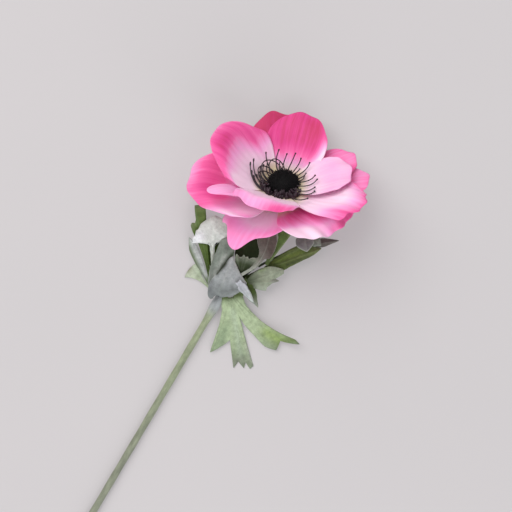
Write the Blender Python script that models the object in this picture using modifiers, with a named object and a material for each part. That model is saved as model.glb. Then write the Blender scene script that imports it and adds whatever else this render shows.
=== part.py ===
"""Anemone flower lying on a surface: stem, whorl of cut leaves, nodding bloom with two rings of petals.

The stem lies along +Y with the bloom at its +Y end; +Z is up from the surface.
"""
import bpy
import bmesh
import numpy as np
from mathutils import Matrix

MM = 0.001
PART = "anemone_flower"

# Bloom: where its centre is and how it leans
CENTRE_HEIGHT = 19.25     # mm above the surface
BLOOM_TILT = 45.0         # degrees from vertical
BLOOM_HEADING = 27.6      # degrees anticlockwise from the stem's line
CLAW_RADIUS = 4.0         # mm from the bloom's axis, where every petal starts
CLAW_SHARE = 0.22         # of the petal's width
PETAL_THICK = 0.5         # mm
PETAL_COLUMNS = 12
PETAL_ROWS = 8

# Leaves
LEAF_THICK = 0.5          # mm
LEAF_ROWS = 2
RIM_STEP = 2.6            # mm between columns along a leaf's rim

# Stem
STEM_RADIUS = 1.7         # mm
STEM_BACK = 215.0         # mm from under the bloom's centre to the cut end
STEM_LIFTS_AT = 33.0      # mm behind the centre, where it leaves the surface
STEM_SIDES = 4            # bevel resolution

# Centre, heights measured along the bloom's axis from the claws
RECEPTACLE_RADIUS = 3.4   # mm
RECEPTACLE_FOOT = -5.4    # mm
RECEPTACLE_TOP = 5.2      # mm
BOSS_RADIUS = 7.6         # mm
BOSS_FOOT = 5.6           # mm
BOSS_TOP = 12.5           # mm
COLLAR_RADIUS = 8.5       # mm
COLLAR_HEIGHT = 7.2       # mm
COLLAR_WIRE = 0.45        # mm
STAMENS = 26
STAMEN_WIRE = 0.24        # mm
STAMEN_REACH = 15.5       # mm from the axis
STAMEN_TOP = 12.0         # mm

# Petals: azimuth deg, length, width, slope angles from claw to rim, height of the claw,
# cup (1/mm), how far out the widest part sits, how round the rim is, how skewed it is
PETALS = {
    "petal_inner_back": (75, 34, 29, (10, 38, 40, 20), 0.7, 0.025, 1.0, 0.30, 0.0),
    "petal_inner_left": (166, 36, 44, (10, 40, 50, 20), 3.4, 0.035, 1.0, 0.30, 0.0),
    "petal_inner_right": (-3, 29.5, 23, (5, 22, 25, 10), 3.6, 0.030, 0.85, 0.38, 0.0),
    "petal_inner_front_right": (-34, 40, 31, (5, 18, 20, 5), 1.8, 0.020, 0.85, 0.38, 0.0),
    "petal_inner_front": (-111, 30.5, 31, (8, 34, 35, 0), 2.75, 0.010, 0.85, 0.25, 0.0),
    "petal_inner_front_left": (206, 37, 22, (5, 30, 30, 0), 0.4, 0.030, 0.85, 0.55, 0.0),
    "petal_outer_back": (95, 38, 31, (5, 25, 30, 15), -1.9, 0.020, 0.85, 0.38, 0.0),
    "petal_outer_left": (198, 41, 44, (0, 15, 20, 0), -0.9, 0.020, 0.85, 0.30, 0.0),
    "petal_outer_front_left": (242, 35, 20, (0, 0, 0, -25), -3.4, 0.010, 0.85, 0.38, -0.2),
    "petal_outer_front_right": (-57, 32, 46, (0, 15, 0, -45), -2.4, 0.010, 0.85, 0.30, 0.0),
    "petal_outer_right": (-2, 36.5, 27, (3, 18, 19, 12), -1.4, 0.020, 0.85, 0.38, 0.0),
    "petal_outer_back_right": (24, 33, 24, (5, 19, 22, 14), -0.1, 0.020, 0.85, 0.38, 0.0),
}

# Leaves: base point, bearing clockwise from +Y, slope angles, cup (1/mm), stalk, lean, splay,
# then the rim from left to right as (degrees, reach)
LEAVES = {
    "leaf_lower": ((5, -55, 3.7), 140, (0, -8, -8, 0), 0.010, 2, 0.0, 0.25,
        ((-74, 5), (-63, 11), (-56, 18), (-53.5, 25), (-52.5, 35), (-48, 37.5), (-45, 30),
         (-34.5, 31.5), (-30, 27), (-28.5, 20), (-21, 9.5), (-11.5, 20), (-10.5, 27), (-9.5, 33),
         (-4, 30), (-1, 32.5), (3.5, 29), (8, 32), (10.5, 25), (13.5, 19), (27, 23), (35.5, 26),
         (39, 21), (42.5, 12), (57, 6))),
    "leaf_front": ((-1, -57.5, 7.6), -31, (18, 8, 0, 0), -0.008, 0, 0.0, 0.0,
        ((-100, 3), (-45, 5), (-20, 7), (-2, 11.5), (10, 15), (19, 20), (22, 20.7), (30, 18),
         (41, 16), (55, 15), (66, 15), (75, 17.7), (80, 14.5), (90, 14.5), (97, 17), (106, 20.5),
         (109, 14))),
    "leaf_left_middle": ((-2.5, -57.5, 4.7), -21, (8, 10, 10, 0), 0.010, 0, 0.0, 0.0,
        ((-38, 6), (-24, 10), (-14, 15.5), (-7, 21), (-2, 27), (2, 28), (10, 26), (17, 24),
         (20, 18), (24, 10))),
    "leaf_left_pale": ((-3.5, -57, 3.3), -31, (4, 10, 15, 5), 0.010, 0, 0.0, 0.8,
        ((-23, 24.5), (-19, 28.5), (-13, 30), (-7, 33), (2, 37), (10, 35), (18, 25))),
    "leaf_left_dark": ((-4.5, -56, 2.3), -40, (5, 12, 12, 5), 0.020, 0, 0.0, 0.7,
        ((-11, 31.5), (-10, 34), (-3.5, 34.5), (-2, 41), (5, 40.5), (6, 33))),
    "leaf_left_thin": ((-4.5, -56, 1.4), -54, (3, 8, 8, 0), 0.020, 0, 0.0, 0.0,
        ((-6, 16), (-4, 23), (1, 27.5), (4, 22))),
    "leaf_left_low": ((-4.5, -56, 0.45), -76, (5, 3, 0, -3), 0.010, 0, 0.0, 0.85,
        ((-20, 14.5), (0, 15), (11, 15), (21, 14.5), (24, 10))),
    "leaf_middle_toothed": ((3, -43, 7.1), -11, (18, 15, 10, 0), 0.010, 2, 0.0, 0.0,
        ((-45, 4), (-34, 9), (-28, 10), (-20, 8.7), (-12, 9.2), (-4, 9.3), (4, 8.7), (15, 10),
         (28, 12.5), (38, 12), (46, 6))),
    "leaf_middle_strap": ((6, -39, 5.8), 7, (12, 12, 12, 5), 0.010, 6, -0.35, 0.5,
        ((-25, 13), (-20, 19), (-9, 21), (0, 21.5), (9, 21), (20, 19), (25, 13))),
    "leaf_middle_tall": ((11, -34, 7.8), -1, (14, 20, 15, 5), 0.020, 0, 0.0, 0.0,
        ((-16, 12), (-14.5, 19), (-12, 23), (-4, 22), (6, 21), (13, 19.5), (15.5, 11))),
    "leaf_right": ((10.5, -36, 4.6), 35, (8, 10, 8, 0), 0.020, 10, 0.0, 0.0,
        ((-24, 8), (-20, 22), (-13, 24.5), (-8, 27), (-3, 25.5), (0, 27), (4, 29.5), (7, 26),
         (8, 23), (11, 18), (17, 13), (24, 10))),
    "leaf_right_low": ((6.5, -45.5, 5.9), 44, (6, 8, 5, 0), 0.020, 3, 0.0, 0.0,
        ((-36, 5), (-32, 8), (-17, 15), (-4, 19.5), (1, 19), (5, 16.5), (8, 14.5), (12, 15.5),
         (15, 12), (24, 10.5), (33, 9), (40, 5))),
    "leaf_right_back": ((9.5, -33, 2.4), 14, (2, 8, 8, 0), 0.010, 12, 0.55, 0.0,
        ((-10, 16), (-8, 22), (-4, 28), (0, 33), (3, 28), (7, 24), (10, 16))),
}
LEAF_BASE = 1.2           # mm, radius of a leaf's narrow end
LEAF_STALK = 0.5          # mm, half the least width of that end

# colour, roughness, metallic
FINISHES = {
    "petal_fabric": ((0.83, 0.25, 0.48, 1.0), 0.75, 0.0),
    "leaf_flock": ((0.30, 0.38, 0.24, 1.0), 0.95, 0.0),
    "stem_flock": ((0.40, 0.46, 0.31, 1.0), 0.90, 0.0),
    "receptacle_plastic": ((0.36, 0.42, 0.24, 1.0), 0.60, 0.0),
    "boss_fibre": ((0.012, 0.010, 0.014, 1.0), 0.85, 0.0),
    "filament_plastic": ((0.05, 0.012, 0.035, 1.0), 0.55, 0.0),
}


def smooth(t):
    """Smoothstep of t held between 0 and 1."""
    t = np.clip(t, 0.0, 1.0)
    return t * t * (3.0 - 2.0 * t)


def bend(x, y, slopes, length, cup):
    """Flat blade (x across, y along) bent so its slope passes through the angles and cupped across."""
    s = np.linspace(0.0, length, 160)
    at = s / length * (len(slopes) - 1)
    i = np.clip(at.astype(int), 0, len(slopes) - 2)
    angle = np.array(slopes, float)
    slope = np.radians(angle[i] + (angle[i + 1] - angle[i]) * smooth(at - i))
    step = s[1]
    along = np.concatenate([[0.0], np.cumsum(np.cos(slope[1:]) + np.cos(slope[:-1])) * step / 2.0])
    lift = np.concatenate([[0.0], np.cumsum(np.sin(slope[1:]) + np.sin(slope[:-1])) * step / 2.0])
    inside = np.clip(y, 0.0, length)
    here = np.interp(inside, s, slope)
    extra = y - inside
    a = np.interp(inside, s, along) + extra * np.cos(here)
    h = np.interp(inside, s, lift) + extra * np.sin(here)
    side = np.sin(cup * x) / cup
    up = (1.0 - np.cos(cup * x)) / cup
    return a - np.sin(here) * up, side, h + np.cos(here) * up


def petal_points(u, v, spec):
    """Petal surface in mm: u from -1 to 1 across, v from 0 at the claw to 1 at the rim."""
    azimuth, length, width, slopes, height, cup, low, roundness, skew = spec
    half = width / 2.0 * (CLAW_SHARE + (1.0 - CLAW_SHARE) * np.sin(0.62 * np.pi * v ** low))
    x = u * half
    y = length * v * (1.0 - roundness * np.abs(u) ** 2.4) * (1.0 + skew * u * v)
    a, side, h = bend(x, y, slopes, length, cup)
    turn = np.radians(azimuth)
    out = np.array([np.cos(turn), np.sin(turn), 0.0])
    across = np.array([-np.sin(turn), np.cos(turn), 0.0])
    local = (a + CLAW_RADIUS)[..., None] * out + side[..., None] * across
    local[..., 2] += h + height
    return in_bloom(local)


def leaf_points(u, v, spec):
    """Leaf surface in mm: a fan of spokes from a narrow base to the cut rim, on a straight stalk."""
    base, bearing, slopes, cup, stalk, lean, splay, rim = spec
    angle = np.radians([a for a, r in rim])
    reach = np.array([r for a, r in rim], float)
    gaps = np.hypot(np.diff(reach * np.sin(angle)), np.diff(reach * np.cos(angle)))
    run = np.concatenate([[0.0], np.cumsum(gaps)])
    at = (u + 1.0) / 2.0 * run[-1]
    spoke = np.interp(at, run, angle)
    edge = np.interp(at, run, reach)
    rho = LEAF_BASE + (edge - LEAF_BASE) * np.clip(v, 0.0, 1.0)
    spread = spoke * (1.0 + splay * ((rho / reach.max()) ** 2 - 1.0))
    x = rho * np.sin(spread) + LEAF_STALK * u * (1.0 - np.clip(v, 0.0, 1.0)) ** 2
    y = rho * np.cos(spread) + stalk * np.clip(v, -1.0, 0.0)
    length = reach.max()
    a, side, h = bend(x, y, slopes, length, cup)
    side = side + lean * np.clip(y / length, 0.0, 1.0) ** 2 * length
    turn = np.radians(bearing)
    ahead = np.array([np.sin(turn), np.cos(turn), 0.0])
    right = np.array([np.cos(turn), -np.sin(turn), 0.0])
    points = np.array(base, float) + a[..., None] * ahead + side[..., None] * right
    points[..., 2] += h
    return points


def in_bloom(local):
    """Points measured from the claws along the bloom's axis, turned and lifted into place (mm)."""
    turn = Matrix.Rotation(np.radians(BLOOM_HEADING), 3, "Z")
    tip = Matrix.Rotation(-np.radians(BLOOM_TILT), 3, "X")
    return local @ np.array(turn @ tip).T + np.array([0.0, 0.0, CENTRE_HEIGHT])


def finish(name):
    """Principled material with the named colour, roughness and metallic."""
    colour, roughness, metallic = FINISHES[name]
    material = bpy.data.materials.get(name) or bpy.data.materials.new(name)
    material.use_nodes = True
    shader = material.node_tree.nodes["Principled BSDF"]
    shader.inputs["Base Color"].default_value = colour
    shader.inputs["Roughness"].default_value = roughness
    shader.inputs["Metallic"].default_value = metallic
    return material


def own(name, mesh, material, collection):
    """Object for a finished mesh, in the part's collection with its own material."""
    mesh.name = name
    mesh.materials.clear()
    mesh.materials.append(finish(material))
    obj = bpy.data.objects.new(name, mesh)
    collection.objects.link(obj)
    return obj


def blade(name, points_of, spec, columns, rows, thick, material, collection):
    """Grid whose vertices follow the blade's surface, given thickness by Solidify."""
    bm = bmesh.new()
    bmesh.ops.create_grid(bm, x_segments=columns, y_segments=len(rows) - 1, size=1.0)
    mesh = bpy.data.meshes.new(name)
    bm.to_mesh(mesh)
    bm.free()
    flat = np.empty(len(mesh.vertices) * 3)
    mesh.vertices.foreach_get("co", flat)
    flat = flat.reshape(-1, 3)
    row = np.rint((flat[:, 1] + 1.0) / 2.0 * (len(rows) - 1)).astype(int)
    placed = points_of(flat[:, 0], np.array(rows)[row], spec) * MM
    mesh.vertices.foreach_set("co", placed.ravel())
    mesh.update()
    obj = own(name, mesh, material, collection)
    solid = obj.modifiers.new("thickness", "SOLIDIFY")
    solid.thickness = thick * MM
    solid.offset = 0.0
    return obj


def swept(name, paths, wire, sides, material, collection):
    """Round wires along lists of (point, share of the wire's radius), as one mesh."""
    curve = bpy.data.curves.new(name + "_path", "CURVE")
    curve.dimensions = "3D"
    curve.bevel_depth = wire * MM
    curve.bevel_resolution = sides
    curve.use_fill_caps = True
    for path in paths:
        spline = curve.splines.new("POLY")
        spline.points.add(len(path) - 1)
        for point, (place, share) in zip(spline.points, path):
            point.co = (*(np.array(place) * MM), 1.0)
            point.radius = share
    guide = bpy.data.objects.new(name + "_path", curve)
    collection.objects.link(guide)
    bpy.context.view_layer.update()
    mesh = bpy.data.meshes.new_from_object(guide.evaluated_get(bpy.context.evaluated_depsgraph_get()))
    bpy.data.objects.remove(guide)
    bm = bmesh.new()
    bm.from_mesh(mesh)
    bmesh.ops.remove_doubles(bm, verts=bm.verts, dist=0.00001)
    bmesh.ops.recalc_face_normals(bm, faces=bm.faces)
    bm.to_mesh(mesh)
    bm.free()
    return own(name, mesh, material, collection)


def turned(name, profile, segments, material, collection):
    """Profile of (radius, height) in mm turned about the bloom's axis with Screw."""
    mesh = bpy.data.meshes.new(name)
    points = [(r * MM, 0.0, h * MM) for r, h in profile]
    mesh.from_pydata(points, [(i, i + 1) for i in range(len(points) - 1)], [])
    obj = own(name, mesh, material, collection)
    screw = obj.modifiers.new("turn", "SCREW")
    screw.axis = "Z"
    screw.steps = segments
    screw.render_steps = segments
    screw.use_merge_vertices = True
    screw.merge_threshold = 0.00001
    screw.use_normal_calculate = True
    mesh = bpy.data.meshes.new_from_object(baked(obj))
    bpy.data.objects.remove(obj)
    bm = bmesh.new()
    bm.from_mesh(mesh)
    bmesh.ops.recalc_face_normals(bm, faces=bm.faces)
    bm.to_mesh(mesh)
    bm.free()
    place(mesh)
    return own(name, mesh, material, collection)


def baked(obj):
    """The object as its modifiers leave it."""
    bpy.context.view_layer.update()
    return obj.evaluated_get(bpy.context.evaluated_depsgraph_get())


def place(mesh):
    """Move a mesh built about the world's axis onto the bloom's axis."""
    points = np.empty(len(mesh.vertices) * 3)
    mesh.vertices.foreach_get("co", points)
    moved = in_bloom(points.reshape(-1, 3) / MM) * MM
    mesh.vertices.foreach_set("co", moved.ravel())
    mesh.update()


def stem_path():
    """Straight on the surface, then up in a smooth bend to meet the receptacle along the bloom's axis."""
    axis = in_bloom(np.array([0.0, 0.0, 1.0])) - in_bloom(np.zeros(3))
    top = in_bloom(np.array([0.0, 0.0, RECEPTACLE_FOOT - 0.4]))
    start = np.array([0.0, -STEM_LIFTS_AT, STEM_RADIUS])
    pull = 0.55 * np.linalg.norm(top - start)
    hold = start + np.array([0.0, pull, 0.0])
    aim = top - axis * pull
    path = [(np.array([0.0, y, STEM_RADIUS]), 1.0) for y in np.linspace(-STEM_BACK, -STEM_LIFTS_AT - 8.0, 9)]
    for t in np.linspace(0.0, 1.0, 9):
        point = start * (1 - t) ** 3 + hold * 3 * t * (1 - t) ** 2 + aim * 3 * t * t * (1 - t) + top * t ** 3
        path.append((point, 1.0))
    return path


def stamen_paths():
    """Filaments leaving the collar outward, rising and straightening towards a small tip."""
    paths = []
    for k in range(STAMENS):
        turn = 2.0 * np.pi * (k + 0.25 * np.sin(2.4 * k)) / STAMENS
        reach = STAMEN_REACH + 0.9 * np.sin(1.7 * k)
        top = STAMEN_TOP + 0.8 * np.cos(2.9 * k)
        path = []
        for t, share in ((0.0, 1.0), (0.35, 0.9), (0.7, 0.8), (0.92, 0.75), (1.0, 1.5)):
            out = COLLAR_RADIUS + (reach - COLLAR_RADIUS) * t
            rise = COLLAR_HEIGHT + (top - COLLAR_HEIGHT) * t ** 1.4
            local = np.array([out * np.cos(turn), out * np.sin(turn), rise])
            path.append((in_bloom(local), share))
        paths.append(path)
    return paths


def stamen_crown(collection, cutters):
    """All filaments and the collar they stand on, united into one body."""
    crown = swept("stamens", stamen_paths(), STAMEN_WIRE, 0, "filament_plastic", collection)
    bm = bmesh.new()
    ring = bmesh.ops.create_circle(bm, segments=6, radius=COLLAR_WIRE * MM)["verts"]
    bmesh.ops.rotate(bm, verts=ring, cent=(0, 0, 0), matrix=Matrix.Rotation(np.pi / 2.0, 3, "X"))
    bmesh.ops.translate(bm, verts=ring, vec=(COLLAR_RADIUS * MM, 0.0, COLLAR_HEIGHT * MM))
    bmesh.ops.spin(bm, geom=bm.verts[:] + bm.edges[:], cent=(0, 0, 0), axis=(0, 0, 1),
                   angle=2.0 * np.pi, steps=40)
    bmesh.ops.remove_doubles(bm, verts=bm.verts, dist=0.00001)
    bmesh.ops.recalc_face_normals(bm, faces=bm.faces)
    mesh = bpy.data.meshes.new("collar")
    bm.to_mesh(mesh)
    bm.free()
    place(mesh)
    collar = own("collar", mesh, "filament_plastic", cutters)
    collar.hide_render = True
    collar.display_type = "WIRE"
    union = crown.modifiers.new("union", "BOOLEAN")
    union.operation = "UNION"
    union.object = collar
    union.solver = "EXACT"
    return crown


def leaf_columns(rim):
    """Number of grid columns that keeps the steps along a leaf's rim near RIM_STEP."""
    angle = np.radians([a for a, r in rim])
    reach = np.array([r for a, r in rim], float)
    run = np.hypot(np.diff(reach * np.sin(angle)), np.diff(reach * np.cos(angle))).sum()
    return int(np.ceil(run / RIM_STEP))


def rest_on_origin(collection):
    """Shift every mesh so that the whole part's box stands centred over the origin."""
    corners = []
    for obj in collection.objects:
        corners.extend(baked(obj).bound_box)
    corners = np.array([tuple(c) for c in corners])
    low, high = corners.min(axis=0), corners.max(axis=0)
    shift = Matrix.Translation((-(low[0] + high[0]) / 2.0, -(low[1] + high[1]) / 2.0, -low[2]))
    for obj in collection.objects:
        obj.data.transform(shift)
    for cutter in bpy.data.collections["cutters"].objects:
        cutter.data.transform(shift)


def main():
    for obj in list(bpy.data.objects):
        bpy.data.objects.remove(obj)
    part = bpy.data.collections.new(PART)
    cutters = bpy.data.collections.new("cutters")
    bpy.context.scene.collection.children.link(part)
    bpy.context.scene.collection.children.link(cutters)

    swept("stem", [stem_path()], STEM_RADIUS, STEM_SIDES, "stem_flock", part)
    turned("receptacle", ((0.0, RECEPTACLE_FOOT), (STEM_RADIUS, RECEPTACLE_FOOT),
                          (RECEPTACLE_RADIUS, RECEPTACLE_FOOT + 2.0), (RECEPTACLE_RADIUS, RECEPTACLE_TOP),
                          (0.0, RECEPTACLE_TOP)), 16, "receptacle_plastic", part)
    dome = [(0.0, BOSS_FOOT), (BOSS_RADIUS * 0.8, BOSS_FOOT)]
    for t in np.linspace(0.0, 1.0, 6)[:-1]:
        swing = np.pi / 2.0 * t
        dome.append((BOSS_RADIUS * np.cos(swing), BOSS_FOOT + 1.2 + (BOSS_TOP - BOSS_FOOT - 1.2) * np.sin(swing)))
    dome.append((0.0, BOSS_TOP))
    turned("centre_boss", dome, 20, "boss_fibre", part)
    stamen_crown(part, cutters)

    rows = np.linspace(0.0, 1.0, PETAL_ROWS + 1)
    for name, spec in PETALS.items():
        blade(name, petal_points, spec, PETAL_COLUMNS, rows, PETAL_THICK, "petal_fabric", part)
    for name, spec in LEAVES.items():
        rows = np.linspace(0.0, 1.0, LEAF_ROWS + 1)
        if spec[4] > 0:
            rows = np.concatenate([[-1.0], rows])
        blade(name, leaf_points, spec, leaf_columns(spec[7]), rows, LEAF_THICK, "leaf_flock", part)
    rest_on_origin(part)


main()
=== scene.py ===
# %% [markdown]
# # A poppy anemone, cut and laid on a table
# The flower is a fabric one: printed cloth petals glued in two rings round a black fibre boss,
# velvety flocked leaves in a whorl part way down, and a straight stem with its end cut off.
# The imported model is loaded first. It says where everything is, and every piece below is placed from it.

# %% Load the frame
import bpy
import bmesh
import numpy as np
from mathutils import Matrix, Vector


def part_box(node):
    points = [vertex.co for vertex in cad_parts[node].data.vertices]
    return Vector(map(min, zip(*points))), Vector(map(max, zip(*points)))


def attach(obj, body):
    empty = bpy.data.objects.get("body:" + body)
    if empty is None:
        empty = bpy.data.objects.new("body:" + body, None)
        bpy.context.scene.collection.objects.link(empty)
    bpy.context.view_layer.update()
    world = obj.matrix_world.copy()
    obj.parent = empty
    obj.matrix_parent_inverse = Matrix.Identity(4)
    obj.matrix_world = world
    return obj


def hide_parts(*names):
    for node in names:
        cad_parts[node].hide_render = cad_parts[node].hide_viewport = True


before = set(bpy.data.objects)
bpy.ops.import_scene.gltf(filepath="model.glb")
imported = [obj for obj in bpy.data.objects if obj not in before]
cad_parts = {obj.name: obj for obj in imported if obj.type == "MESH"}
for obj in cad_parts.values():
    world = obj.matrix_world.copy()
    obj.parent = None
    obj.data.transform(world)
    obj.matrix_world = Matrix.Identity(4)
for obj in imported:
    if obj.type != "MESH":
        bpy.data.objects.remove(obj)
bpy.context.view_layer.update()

# %% [markdown]
# ## Where the flower lies
# All sizes below are in millimetres, measured from the point on the table under the bloom's centre,
# with the stem straight along -Y. The stem's own box gives that point: its left side is one radius
# from the stem's line, and its cut end is the stem's length behind the bloom.

# %% Measures shared by every piece
MM = 0.001
STEM_RADIUS = 1.7
STEM_BACK = 215.0
stem_low = np.array(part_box("stem")[0])
UNDER_BLOOM = stem_low + np.array([STEM_RADIUS, STEM_BACK, 0.0]) * MM
CENTRE_HEIGHT = 19.25
BLOOM_TILT = 45.0
BLOOM_HEADING = 27.6
CLAW_RADIUS = 4.0
CLOTH = 0.35
PETAL_CLEARANCE, LEAF_CLEARANCE = 0.4, 0.3
print("point under the bloom, in mm:", np.round(UNDER_BLOOM * 1000, 1))


def spin(angle):
    """Turn about Z, in degrees, as a matrix for columns."""
    a = np.radians(angle)
    return np.array([[np.cos(a), -np.sin(a), 0.0], [np.sin(a), np.cos(a), 0.0], [0.0, 0.0, 1.0]])


def tip(angle):
    """Turn about X, in degrees, as a matrix for columns."""
    a = np.radians(angle)
    return np.array([[1.0, 0.0, 0.0], [0.0, np.cos(a), -np.sin(a)], [0.0, np.sin(a), np.cos(a)]])


BLOOM = spin(BLOOM_HEADING) @ tip(-BLOOM_TILT)


def in_bloom(local):
    """Points in the bloom's own frame (its axis is Z, its claws at height 0) turned and lifted into place."""
    return local @ BLOOM.T + np.array([0.0, 0.0, CENTRE_HEIGHT])


def smooth(t):
    """Smoothstep: 3t^2 - 2t^3 of t held between 0 and 1."""
    t = np.clip(t, 0.0, 1.0)
    return t * t * (3.0 - 2.0 * t)


def hump(distance, width):
    """A bell of height 1: exp(-(distance/width)^2)."""
    return np.exp(-(distance / width) ** 2)


def round_axis(radius, angle, height):
    """Cylinder coordinates to x, y, z, with every input stretched to the same shape."""
    return np.stack(np.broadcast_arrays(radius * np.cos(angle), radius * np.sin(angle), height), axis=-1)


# %% [markdown]
# ## From a grid of points to a mesh
# Every piece is a surface of two parameters, so it is a grid of points: rows along it, columns across.
# One helper turns such a grid into quads, with a UV map from the two parameters and, where asked, a
# colour at each point for the materials to read. A tube's grid closes on itself, and its two ends are
# drawn in to single points, which merging turns into closed poles.

# %% The mesh maker
def skin(name, points, closed=False, paint=None):
    """Object from points[copy, row, column]: quads between neighbours, columns joined in a ring if closed."""
    copies, rows, columns = points.shape[:3]
    index = np.arange(copies * rows * columns).reshape(copies, rows, columns)
    u, v = np.meshgrid(np.linspace(0, 1, columns + (1 if closed else 0)), np.linspace(0, 1, rows))
    if closed:
        index = np.concatenate([index, index[:, :, :1]], axis=2)
    corner = [(slice(None, -1), slice(None, -1)), (slice(None, -1), slice(1, None)),
              (slice(1, None), slice(1, None)), (slice(1, None), slice(None, -1))]
    quads = np.stack([index[:, a, b] for a, b in corner], axis=-1).reshape(-1, 4)
    around = np.stack([np.stack([u[a, b], v[a, b]], axis=-1) for a, b in corner], axis=-2)
    around = np.tile(around.reshape(-1, 2), (copies, 1))
    mesh = bpy.data.meshes.new(name)
    mesh.from_pydata((points.reshape(-1, 3) * MM + UNDER_BLOOM).tolist(), [], quads.tolist())
    mesh.uv_layers.new(name="UVMap").data.foreach_set("uv", around.ravel())
    if paint is not None:
        layer = mesh.color_attributes.new("paint", "FLOAT_COLOR", "POINT")
        layer.data.foreach_set("color", paint.reshape(-1, 4).astype(np.float32).ravel())
    if closed:
        bm = bmesh.new()
        bm.from_mesh(mesh)
        bmesh.ops.remove_doubles(bm, verts=bm.verts, dist=0.000001)
        bmesh.ops.recalc_face_normals(bm, faces=bm.faces)
        bm.to_mesh(mesh)
        bm.free()
    mesh.shade_smooth()
    piece = bpy.data.objects.new(name, mesh)
    bpy.context.scene.collection.objects.link(piece)
    return piece


def settle(piece, material, nodes=()):
    """Give a finished piece its material, hide the parts it stands for, and let it ride."""
    piece.data.materials.append(material)
    if nodes:
        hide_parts(*nodes)
    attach(piece, "root")


def thicken(piece):
    """The cloth's own thickness, half to each side of the surface."""
    wall = piece.modifiers.new("cloth", "SOLIDIFY")
    wall.thickness = CLOTH * MM
    wall.offset = 0.0
    return piece


def bend(x, y, slopes, length, cup):
    """Flat blade (x across, y along) carried onto a centre line whose slope passes smoothly through the
    given angles, then cupped across: side = sin(cup x)/cup, rise = (1 - cos(cup x))/cup."""
    s = np.linspace(0.0, length, 160)
    at = s / length * (len(slopes) - 1)
    i = np.clip(at.astype(int), 0, len(slopes) - 2)
    angle = np.array(slopes, float)
    slope = np.radians(angle[i] + (angle[i + 1] - angle[i]) * smooth(at - i))
    along = np.concatenate([[0.0], np.cumsum(np.cos(slope[1:]) + np.cos(slope[:-1])) * s[1] / 2.0])
    lift = np.concatenate([[0.0], np.cumsum(np.sin(slope[1:]) + np.sin(slope[:-1])) * s[1] / 2.0])
    inside = np.clip(y, 0.0, length)
    here = np.interp(inside, s, slope)
    extra = y - inside
    rise = (1.0 - np.cos(cup * x)) / cup
    ahead = np.interp(inside, s, along) + extra * np.cos(here) - np.sin(here) * rise
    height = np.interp(inside, s, lift) + extra * np.sin(here) + np.cos(here) * rise
    return ahead, np.sin(cup * x) / cup, height, here


# %% [markdown]
# ## Materials, written like sums
# A shader is a graph of nodes, but its maths reads better as arithmetic. `Value` wraps one socket, so
# that `a * 0.5 + b` adds the nodes, and `Finish` holds one material and adds any node by its type.

# %% Shader arithmetic
class Value:
    """One socket of a material that takes part in sums like a number."""

    def __init__(self, finish, socket):
        self.finish, self.socket = finish, socket

    def maths(self, operation, other):
        return self.finish.node("ShaderNodeMath", {"operation": operation}, {0: self, 1: other})

    def __add__(self, other):
        return self.maths("ADD", other)

    def __sub__(self, other):
        return self.maths("SUBTRACT", other)

    def __mul__(self, other):
        return self.maths("MULTIPLY", other)

    def held(self):
        """Kept between 0 and 1."""
        return self.finish.node("ShaderNodeClamp", {}, {0: self})

    __radd__ = __add__


class Finish:
    """A material under construction."""

    def __init__(self, name, roughness):
        self.material = bpy.data.materials.new(name)
        self.material.use_nodes = True
        self.tree = self.material.node_tree
        self.shader = self.tree.nodes["Principled BSDF"]
        self.shader.inputs["Roughness"].default_value = roughness

    def node(self, kind, settings, inputs, output=0):
        """Any node: its settings first, then its sockets' values or links."""
        made = self.tree.nodes.new(kind)
        for name, setting in settings.items():
            setattr(made, name, setting)
        for name, value in inputs.items():
            self.feed(made.inputs[name], value)
        return Value(self, made.outputs[output])

    def feed(self, socket, value):
        """Link a Value, or set a plain number or colour."""
        if isinstance(value, Value):
            self.tree.links.new(value.socket, socket)
        else:
            socket.default_value = value

    def in_space(self):
        """The point's place in metres."""
        return self.node("ShaderNodeTexCoord", {}, {}, 3)

    def painted(self):
        """The colour painted on the mesh."""
        return self.node("ShaderNodeAttribute", {"attribute_name": "paint"}, {})

    def scaled(self, colour, amount):
        """A colour made lighter or darker by a Value."""
        return self.node("ShaderNodeVectorMath", {"operation": "SCALE"}, {0: colour, "Scale": amount})

    def blend(self, share, first, second):
        """Colour mix from first to second."""
        return self.node("ShaderNodeMix", {"data_type": "RGBA"}, {0: share, 6: first, 7: second}, 2)

    def noise(self, place, scale, detail=3.0, roughness=0.5):
        return self.node("ShaderNodeTexNoise", {}, {"Vector": place, "Scale": scale,
                                                    "Detail": detail, "Roughness": roughness})

    def stretched(self, place, scale):
        """Coordinates multiplied axis by axis."""
        return self.node("ShaderNodeMapping", {}, {"Vector": place, "Scale": scale})

    def parts(self, colour):
        """Red, green and blue of a colour as three Values."""
        split = self.tree.nodes.new("ShaderNodeSeparateColor")
        self.feed(split.inputs[0], colour)
        return [Value(self, out) for out in split.outputs]

    def relief(self, height, strength, distance):
        """Bump from a height, with its distance in mm."""
        bump = self.node("ShaderNodeBump", {}, {"Height": height, "Strength": strength,
                                                "Distance": distance * MM})
        self.feed(self.shader.inputs["Normal"], bump)

    def glow(self, share, colour):
        """Let a share of the light through, as thin cloth does."""
        through = self.node("ShaderNodeBsdfTranslucent", {}, {"Color": colour})
        both = self.node("ShaderNodeMixShader", {}, {0: share, 1: Value(self, self.shader.outputs[0]),
                                                     2: through})
        self.feed(self.tree.nodes["Material Output"].inputs["Surface"], both)
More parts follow.
